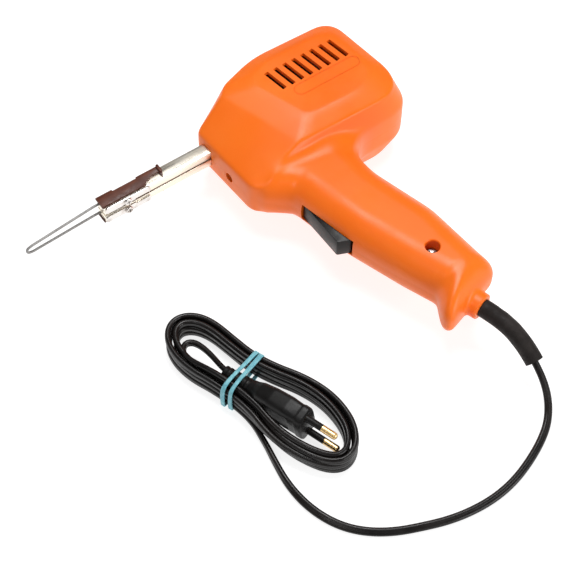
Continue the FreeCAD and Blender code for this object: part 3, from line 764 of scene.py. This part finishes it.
# how much each corner is rounded low down and at the border's height, in the order of HEAD
HEAD_ROUNDING = ((2.2, 2.2), (1.6, 1.6), (2.5, 3.5), (12.0, 12.0), (20.0, 24.0), (0.6, 0.6),
                 (9.0, 2.0))
STRIP_HALF = 11.0               # half width of the nose's flat strip
CHIN_HALF = 11.5                # and at the chin
BORDER_HEIGHT = 25.0
CREASE = 1.2
GRIP_ROOT = (36.7, -44.0)
GRIP_RAKE = math.radians(16.8)
GRIP_HALF = 17.5
GRIP_ROUND = 15.5
GRIP_END = 123.3
GRIP_FRONT = [(-29.4, -21.1), (-5.5, -30.0), (8.5, -20.6), (48.0, -24.0), (85.0, -22.9), (106.0, -21.2),
              (115.5, -31.0), (123.3, -34.2)]
GRIP_BACK = [(-29.4, 28.0), (10.0, 28.0), (34.0, 21.8), (74.0, 20.8), (112.0, 12.2), (123.3, 10.4)]
COLLAR_ACROSS = -11.3
COLLAR_RADIUS = 7.6
COLLAR_END = 128.9
WALL = 2.4
CELL = 0.9


def soft_max(a, b, width):
    """The larger of two fields, its crease rounded over a width."""
    gap = np.maximum(width - np.abs(a - b), 0.0) / width
    return np.maximum(a, b) + gap * gap * width / 4


def soft_min(a, b, width):
    return -soft_max(-a, -b, width)


def ramp(value, width):
    """Zero below zero and the value above it, with a smooth knee."""
    return (value + np.sqrt(value * value + width * width)) / 2


def head_field(x, y, z):
    """Field of the head, negative inside: a loft through HEAD's outlines with its corners rounded."""
    corners = np.array(HEAD)
    count = len(corners)
    rise = ramp(z - BORDER_HEIGHT, 0.5)
    upper = rise / (HALF_THICK - BORDER_HEIGHT)
    edges = []
    for i in range(count):
        a, b = corners[i], corners[(i + 1) % count]
        foot = STRIP_HALF
        if i == count - 1:
            share = np.clip((9.0 - y) / 54.0, 0, 1)
            foot = STRIP_HALF + (CHIN_HALF - STRIP_HALF) * share ** 1.5
        lower = (ramp(z - foot, CREASE) - rise) / (BORDER_HEIGHT - foot)
        ax, ay = (a[0][k] + (a[1][k] - a[0][k]) * lower + (a[2][k] - a[1][k]) * upper for k in (0, 1))
        bx, by = (b[0][k] + (b[1][k] - b[0][k]) * lower + (b[2][k] - b[1][k]) * upper for k in (0, 1))
        length = np.hypot(bx - ax, by - ay)
        edges.append(((x - ax) * (ay - by) + (y - ay) * (bx - ax)) / length)
    field = None
    high = np.clip((z - 13.0) / 9.0, 0, 1)
    for i in range(count):
        low_rounding, high_rounding = HEAD_ROUNDING[i]
        corner = soft_max(edges[i - 1], edges[i], low_rounding + (high_rounding - low_rounding) * high)
        field = corner if field is None else np.maximum(field, corner)
    return soft_max(field, z - HALF_THICK, 1.6)


def eased(stations, kernel=5.0):
    """Profile through stations (along, across) with its corners eased, as a function."""
    fine = np.arange(stations[0][0] - 20.0, stations[-1][0] + 20.0, 0.25)
    value = np.interp(fine, [s[0] for s in stations], [s[1] for s in stations])
    for end, sign in ((0, -1), (-1, 1)):
        slope = (stations[end][1] - stations[end + (1 if end == 0 else -1)][1]) / (
            stations[end][0] - stations[end + (1 if end == 0 else -1)][0])
        outside = (fine - stations[end][0]) * sign > 0
        value[outside] = stations[end][1] + slope * (fine[outside] - stations[end][0])
    weights = np.hanning(int(kernel / 0.25) * 2 + 1)
    weights /= weights.sum()
    half = len(weights) // 2
    value = np.convolve(np.pad(value, half, mode="edge"), weights, "valid")
    return lambda t: np.interp(t, fine, value)


grip_front = eased(GRIP_FRONT)
grip_back = eased(GRIP_BACK, 9.0)


def grip_coordinates(x, y):
    """Distance down the handle and across it, towards the back."""
    dx, dy = x - GRIP_ROOT[0], y - GRIP_ROOT[1]
    t = dx * math.sin(GRIP_RAKE) - dy * math.cos(GRIP_RAKE)
    c = dx * math.cos(GRIP_RAKE) + dy * math.sin(GRIP_RAKE)
    return t, c


def grip_point(t, c, z=0.0):
    return (GRIP_ROOT[0] + t * math.sin(GRIP_RAKE) + c * math.cos(GRIP_RAKE),
            GRIP_ROOT[1] - t * math.cos(GRIP_RAKE) + c * math.sin(GRIP_RAKE), z)


def rounded_edge(u, v, radius):
    """Two fields meeting in a quarter-round edge."""
    u, v = u + radius, v + radius
    return np.minimum(np.maximum(u, v), 0) + np.hypot(np.maximum(u, 0), np.maximum(v, 0)) - radius


def grip_field(x, y, z):
    """Field of the handle and its cord collar, negative inside."""
    t, c = grip_coordinates(x, y)
    slope_front = (grip_front(t + 0.5) - grip_front(t - 0.5))
    slope_back = (grip_back(t + 0.5) - grip_back(t - 0.5))
    front = (grip_front(t) - c) / np.sqrt(1 + slope_front ** 2)
    back = (c - grip_back(t)) / np.sqrt(1 + slope_back ** 2)
    end = soft_max(soft_max(front, t - GRIP_END, 6.5), soft_max(back, t - GRIP_END, 7.0), 0.5)
    plan = soft_max(end, -30.0 - t, 1.0)
    body = rounded_edge(plan, np.abs(z) - GRIP_HALF, GRIP_ROUND)
    collar = rounded_edge(np.hypot(c - COLLAR_ACROSS, z) - COLLAR_RADIUS, t - COLLAR_END, 0.9)
    collar = soft_max(collar, 100.0 - t, 0.5)
    return soft_min(body, collar, 2.2)


def casing_field(x, y, z):
    """Field of head and handle, blended more widely towards the back and less near the flat side."""
    blend = (3.0 + 16.0 * np.clip((x - 14.0) / 60.0, 0, 1)) * np.clip((27.0 - np.abs(z)) / 14.0, 0.2, 1)
    return soft_min(head_field(x, y, np.abs(z)), grip_field(x, y, z), blend)


def gradient(field, points, step=0.05):
    """Slope of the field at each point."""
    out = np.empty_like(points)
    for k in range(3):
        shift = np.zeros(3)
        shift[k] = step
        out[:, k] = (field(*(points + shift).T) - field(*(points - shift).T)) / (2 * step)
    return out


def surface_net(values, origin, cell):
    """Quads of the surface where a field sampled on a grid changes sign."""
    shape = np.array(values.shape) - 1
    total = int(np.prod(shape))
    strides = np.array([shape[1] * shape[2], shape[2], 1])
    sums = np.zeros((total, 3))
    counts = np.zeros(total)
    quads = []
    for axis in range(3):
        low = np.take(values, range(values.shape[axis] - 1), axis=axis)
        high = np.take(values, range(1, values.shape[axis]), axis=axis)
        crossing = np.argwhere((low < 0) != (high < 0))
        a = low[tuple(crossing.T)]
        b = high[tuple(crossing.T)]
        place = crossing.astype(float)
        place[:, axis] += a / (a - b)
        others = [k for k in range(3) if k != axis]
        keep = np.all((crossing[:, others] > 0) & (crossing[:, others] < shape[others]), axis=1)
        crossing, place, a = crossing[keep], place[keep], a[keep]
        cells = []
        for i, j in ((-1, -1), (0, -1), (0, 0), (-1, 0)):
            index = crossing.copy()
            index[:, others[0]] += i
            index[:, others[1]] += j
            flat = index @ strides
            cells.append(flat)
            counts += np.bincount(flat, minlength=total)
            for k in range(3):
                sums[:, k] += np.bincount(flat, weights=place[:, k], minlength=total)
        ring = np.stack(cells, axis=1)
        flip = (a < 0) if axis != 1 else (a > 0)
        ring[~flip] = ring[~flip][:, ::-1]
        quads.append(ring)
    used = np.flatnonzero(counts)
    number = np.full(total, -1)
    number[used] = np.arange(len(used))
    verts = sums[used] / counts[used][:, None] * cell + np.array(origin)
    return verts, number[np.concatenate(quads)]


def sampled(field, cell, low, high):
    """The field's values on a grid over a box."""
    axes = [np.arange(low[k], high[k] + cell, cell) for k in range(3)]
    grid = np.meshgrid(*axes, indexing="ij")
    return field(*grid)


CASING_LOW = (-4.0, -176.0, -1.7)
CASING_HIGH = (119.0, 32.0, 31.5)
FLOOR_CUT = -1.1                # the half is made a little deeper, then cut at the parting plane


def outer_skin():
    """Closed mesh of a casing half's outside, drawn onto the field's surface."""
    values = sampled(casing_field, CELL, CASING_LOW, CASING_HIGH)
    heights = CASING_LOW[2] + CELL * np.arange(values.shape[2])
    values = np.maximum(values, (FLOOR_CUT - heights)[None, None, :])
    verts, quads = surface_net(values, CASING_LOW, CELL)
    free = verts[:, 2] > FLOOR_CUT + CELL
    for _ in range(5):
        points = verts[free]
        slope = gradient(casing_field, points)
        value = casing_field(*points.T)
        move = -slope * (value / np.maximum((slope ** 2).sum(axis=1), 0.05))[:, None]
        size = np.linalg.norm(move, axis=1)[:, None]
        verts[free] = points + move * np.minimum(1.0, 0.4 / np.maximum(size, 1e-9))
    return new_mesh("casing", verts, quads, "orange")


def inner_skin():
    """Closed mesh of the hollow, a wall's thickness inside the casing."""
    cell = 1.5
    values = sampled(casing_field, cell, CASING_LOW, CASING_HIGH)
    steep = np.sqrt(sum(g ** 2 for g in np.gradient(values, cell)))
    values = values / np.maximum(steep, 0.4) + WALL
    heights = CASING_LOW[2] + cell * np.arange(values.shape[2])
    values = np.maximum(values, (FLOOR_CUT + 0.2 - heights)[None, None, :])
    verts, quads = surface_net(values, CASING_LOW, cell)
    return new_mesh("hollow", verts, quads, "orange")


VENTS = 8
VENT_PITCH = 6.2
VENT_START = (49.7, 2.4)
VENT_SIZE = (2.8, 15.8)
VENT_RAKE = math.radians(9.0)
LAMP_Y = -21.0
LABEL_FIELD = ((54.0, -15.0), (98.0, -7.4))
LABEL_LINE = 0.5
HEAD_SCREWS = [(102.0, 14.0), (104.0, -34.0), (30.0, -31.0)]
BOSS = grip_point(91.0, -5.9)


def rounded_box(width, height, radius, turn, centre):
    outline = []
    for sx, sy, start in ((1, 1, 0), (-1, 1, 90), (-1, -1, 180), (1, -1, 270)):
        for step in range(4):
            a = math.radians(start + 30 * step)
            x = sx * (width / 2 - radius) + radius * math.cos(a)
            y = sy * (height / 2 - radius) + radius * math.sin(a)
            outline.append((centre[0] + x * math.cos(turn) - y * math.sin(turn),
                            centre[1] + x * math.sin(turn) + y * math.cos(turn)))
    return outline


def grip_block(t0, t1, c0, c1, z0, z1):
    corners = [grip_point(t0, c0), grip_point(t0, c1), grip_point(t1, c1), grip_point(t1, c0)]
    outline = [(p[0], p[1]) for p in corners]
    area = sum(a[0] * b[1] - b[0] * a[1] for a, b in zip(outline, outline[1:] + outline[:1]))
    if area < 0:
        outline.reverse()
    return prism(outline, z0, z1)


def post_height(x, y):
    """How high a screw post can stand and still end inside the casing's wall."""
    angles = np.linspace(0, 2 * math.pi, 12)
    height = 27.0
    while casing_field(x + 4 * np.cos(angles), y + 4 * np.sin(angles), np.full(12, height)).max() > -0.8:
        height -= 0.5
    return height


def label_groove():
    """Fine engraved line round the blank label field below the slots."""
    (x0, y0), (x1, y1) = LABEL_FIELD
    radius = (y1 - y0) / 2
    outline = []
    for centre, start in (((x1 - radius), -90), ((x0 + radius), 90)):
        for step in range(13):
            a = math.radians(start + 15 * step)
            outline.append((centre + radius * math.cos(a), (y0 + y1) / 2 + radius * math.sin(a),
                            HALF_THICK))
    line = np.array(outline)
    half = LABEL_LINE / 2
    square = [(-half, -half), (half, -half), (half, half), (-half, half)]
    return sweep("tool", line, square, "orange", closed=True)


def casing_half(left):
    """One moulded half: hollow, with its screw posts, slots, openings and label line."""
    half = outer_skin()
    carve(half, inner_skin())
    boss = rod((BOSS[0], BOSS[1], -0.5), (BOSS[0], BOSS[1], 16.4), 6.3)
    carve(half, boss, "UNION")
    for x, y in HEAD_SCREWS:
        carve(half, rod((x, y, -0.5), (x, y, post_height(x, y)), 4.0), "UNION")
    tools = [block(-10, 140, -190, 50, -5, 0.03), label_groove(),
             block(-6, 9, -4.2, 4.2, -1, 5.9),
             rod((-8, LAMP_Y, 0), (10, LAMP_Y, 0), 3.0),
             grip_block(14.6, 52.0, -40, -15.5, -1, 6.4),
             rod(grip_point(92, COLLAR_ACROSS), grip_point(140, COLLAR_ACROSS), 3.7)]
    for i in range(VENTS):
        centre = (VENT_START[0] + i * VENT_PITCH, VENT_START[1])
        tools.append(prism(rounded_box(*VENT_SIZE, 0.4, VENT_RAKE, centre), 22, 31))
        tools.append(prism(rounded_box(VENT_SIZE[0], VENT_SIZE[1], 0.4, VENT_RAKE, centre),
                           HALF_THICK - 0.1, HALF_THICK + 1.0, 0.7))
    if left:
        tools.append(rod((BOSS[0], BOSS[1], 8.0), (BOSS[0], BOSS[1], 17.4), 4.1))
        tools.append(rod((BOSS[0], BOSS[1], 17.0), (BOSS[0], BOSS[1], 18.2), 4.1, 5.3))
        tools.append(rod((BOSS[0], BOSS[1], -1), (BOSS[0], BOSS[1], 9), 1.9))
    else:
        for x, y in HEAD_SCREWS:
            tools.append(rod((x, y, 18), (x, y, 32), 3.4))
            tools.append(rod((x, y, -1), (x, y, 19), 1.9))
    for tool in tools:
        carve(half, tool)
    coordinates = np.array([v.co for v in half.data.vertices])
    if not left:
        coordinates[:, 2] *= -1
    half.data.vertices.foreach_set("co", in_row(coordinates).ravel())
    if not left:
        half.data.flip_normals()
    node = "housing_left" if left else "housing_right"
    half.name = node + "_moulding"
    crisp(half, 34.0)
    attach(half, "casing")
    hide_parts(node)
    return half


left_half = casing_half(True)
right_half = casing_half(False)


# ---- metal, phenolic and inner parts ----------------------------------------------------------------
for name, finish, width in (("arm_left", "bar", 0.35), ("arm_right", "bar", 0.35),
                            ("clamp_jaw_left", "clamp", 0.18), ("clamp_jaw_right", "clamp", 0.18),
                            ("arm_insulator_left", "phenolic", 0.12),
                            ("arm_insulator_right", "phenolic", 0.12),
                            ("casing_screws", "screw", 0.1), ("switch_body", "black", 0.3),
                            ("transformer_core", "core", 0.3), ("winding_tape", "tape", 0.15)):
    softened(name, finish, width)
softened("trigger", "black", 0.45, "trigger")

PAINTED = {"soldering_tip": "wire", "clamp_screw_left": "clamp", "clamp_screw_right": "clamp",
           "secondary_turn": "bar", "arm_spacer": "phenolic", "nose_insulator": "phenolic",
           "bobbin": "nylon",
           "primary_winding": "copper", "core_bolts": "screw", "core_nuts": "screw", "work_lamp": "glass",
           "lamp_holder": "brass", "trigger_pin": "screw", "switch_plunger": "black",
           "switch_terminals": "brass", "switch_bracket": "orange", "trigger_spring": "screw",
           "cord_clamp": "phenolic", "cord_clamp_screws": "screw", "cord_inlet": "cord",
           "lead_live": "brown_lead", "lead_neutral": "blue_lead", "lead_switched": "brown_lead",
           "plug_pins": "brass", "plug_pin_sleeves": "plug"}
for name, finish in PAINTED.items():
    paint(name, finish)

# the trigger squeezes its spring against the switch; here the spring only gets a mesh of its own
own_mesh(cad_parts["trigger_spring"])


# ---- floor and light ----------------------------------------------------------------------------------
def floor():
    verts = [(-3, -3, 0), (3, -3, 0), (3, 3, 0), (-3, 3, 0)]
    obj = new_mesh("floor", verts, [(0, 1, 2, 3)], "nylon")
    paper = Finish("pale_floor", (0.4, 0.4, 0.4), 0.8)
    paper.shader.inputs["Emission Color"].default_value = (1, 1, 1, 1)
    paper.shader.inputs["Emission Strength"].default_value = 0.8
    obj.data.materials.clear()
    obj.data.materials.append(paper.material)
    obj.location.z = -0.0003


def area_light(name, place, target, size, power):
    light = bpy.data.lights.new(name, "AREA")
    light.shape = "RECTANGLE"
    light.size, light.size_y = size
    light.energy = power
    obj = bpy.data.objects.new(name, light)
    obj.location = place
    obj.rotation_euler = (Vector(place) - Vector(target)).to_track_quat("Z", "Y").to_euler()
    bpy.context.scene.collection.objects.link(obj)


def lighting():
    world = bpy.data.worlds.new("studio")
    world.use_nodes = True
    world.node_tree.nodes["Background"].inputs["Color"].default_value = (1, 1, 1, 1)
    world.node_tree.nodes["Background"].inputs["Strength"].default_value = 0.22
    bpy.context.scene.world = world
    area_light("key", (0.2, 0.2, 1.12), (0, 0, 0), (0.6, 0.5), 10.2)
    area_light("front", (0.4, -1.0, 0.35), (0, -0.03, 0.02), (0.8, 0.3), 6.0)
    area_light("crease", (-0.75, -0.35, 0.95), (0, 0.05, 0.03), (0.22, 0.16), 1.5)


floor()
lighting()
bpy.context.scene.view_settings.view_transform = "Standard"
